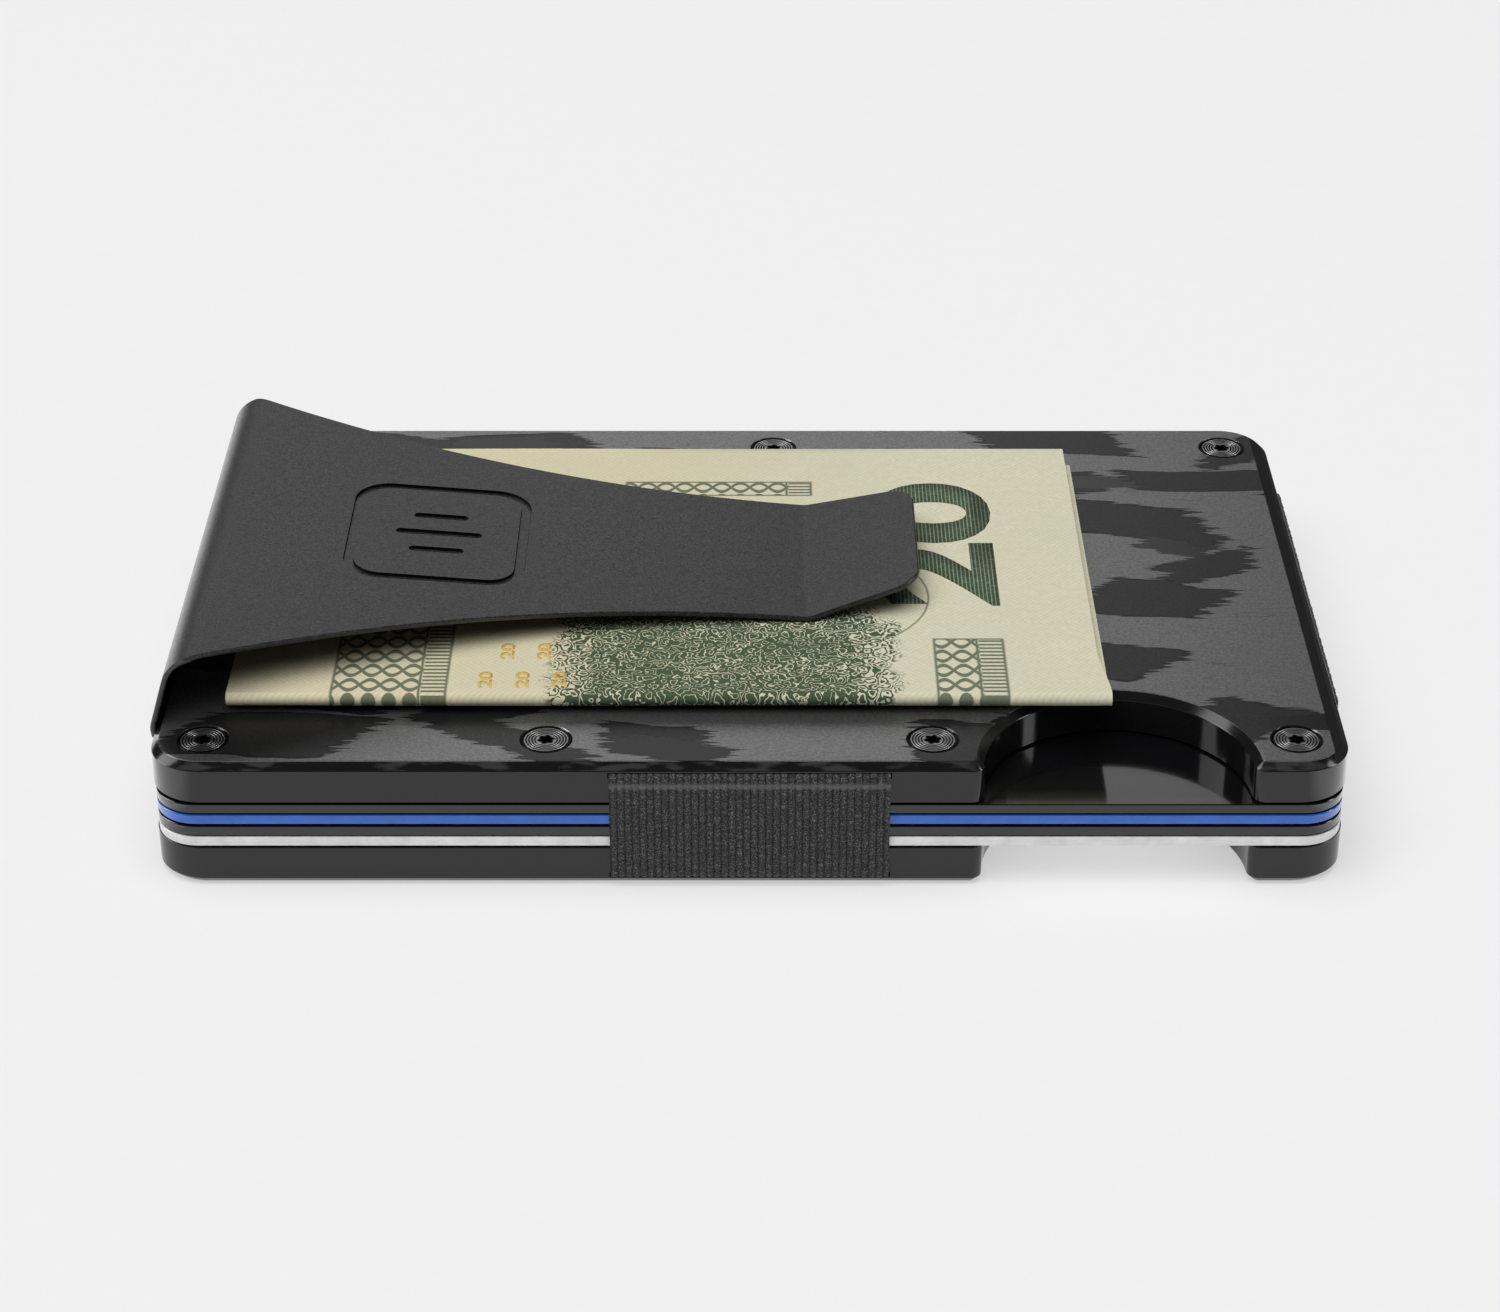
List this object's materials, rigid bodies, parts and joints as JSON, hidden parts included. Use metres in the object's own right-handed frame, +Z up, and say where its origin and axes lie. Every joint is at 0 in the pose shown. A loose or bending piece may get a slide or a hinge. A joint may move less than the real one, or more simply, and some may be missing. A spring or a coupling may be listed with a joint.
{
  "type": "minimalist card wallet",
  "caption": "Two screwed metal plates squeezed on a stack of cards by elastic bands, with a thumb notch and a spring money clip holding a folded note.",
  "frame": {"origin": "centre of the bottom plate's outer face, which the wallet lies on", "axes": "+Z up through the plates to the money clip, +X along the length towards the end with the thumb notch, -Y towards the long edge that the notch is cut in"},
  "size_m": [0.0868, 0.0548, 0.0157],
  "materials": {
    "plate_coating": "black anodised, brush-stroke camouflage print on the face",
    "inner_plate": "black anodised, bead blasted",
    "screw_steel": "blackened, turned rings on the head",
    "elastic": "ribbed woven elastic",
    "clip_coating": "fine matte powder coat",
    "card_black": "gloss laminate",
    "card_blue": "gloss laminate",
    "card_silver": "satin laminate",
    "note_paper": "printed cotton paper"
  },
  "bodies": {
    "bottom_half": {"bottom_outer_plate": "plate_coating", "bottom_inner_plate": "inner_plate", "bottom_screw_1": "screw_steel", "bottom_screw_2": "screw_steel", "bottom_screw_3": "screw_steel", "bottom_screw_4": "screw_steel", "bottom_screw_5": "screw_steel", "bottom_screw_6": "screw_steel", "bottom_screw_7": "screw_steel", "elastic_band_front": "elastic", "elastic_band_right": "elastic", "elastic_band_back": "elastic"},
    "top_half": {"top_outer_plate": "plate_coating", "top_inner_plate": "inner_plate", "top_screw_1": "screw_steel", "top_screw_2": "screw_steel", "top_screw_3": "screw_steel", "top_screw_4": "screw_steel", "top_screw_5": "screw_steel", "top_screw_6": "screw_steel", "top_screw_7": "screw_steel", "clip_base": "clip_coating"},
    "clip": {"clip_arm": "clip_coating"},
    "note": {"folded_note": "note_paper"},
    "first_card": {"card_1": "card_black"},
    "second_card": {"card_2": "card_blue"},
    "third_card": {"card_3": "card_black"},
    "fourth_card": {"card_4": "card_silver"}
  },
  "joints": [
    {"name": "plate_spread", "type": "slide", "parent": "bottom_half", "child": "top_half", "axis": [0, 0, 1], "range_m": [0, 0.006], "stiffness_N_per_m": 900, "springref_m": -0.006, "deforming": ["elastic_band_front", "elastic_band_right", "elastic_band_back"]},
    {"name": "clip_flex", "type": "hinge", "parent": "top_half", "child": "clip", "pos_m": [-0.04282, 0, 0.01111], "axis": [0, -1, 0], "range_deg": [0, 6], "stiffness_Nm_per_rad": 3, "springref_deg": -2.86},
    {"name": "note_slide", "type": "slide", "parent": "top_half", "child": "note", "axis": [1, 0, 0], "range_m": [0, 0.05]},
    {"name": "card_1_slide", "type": "slide", "parent": "bottom_half", "child": "first_card", "axis": [-1, 0, 0], "range_m": [0, 0.06]},
    {"name": "card_2_slide", "type": "slide", "parent": "bottom_half", "child": "second_card", "axis": [-1, 0, 0], "range_m": [0, 0.06]},
    {"name": "card_3_slide", "type": "slide", "parent": "bottom_half", "child": "third_card", "axis": [-1, 0, 0], "range_m": [0, 0.06]},
    {"name": "card_4_slide", "type": "slide", "parent": "bottom_half", "child": "fourth_card", "axis": [-1, 0, 0], "range_m": [0, 0.06]}
  ]
}
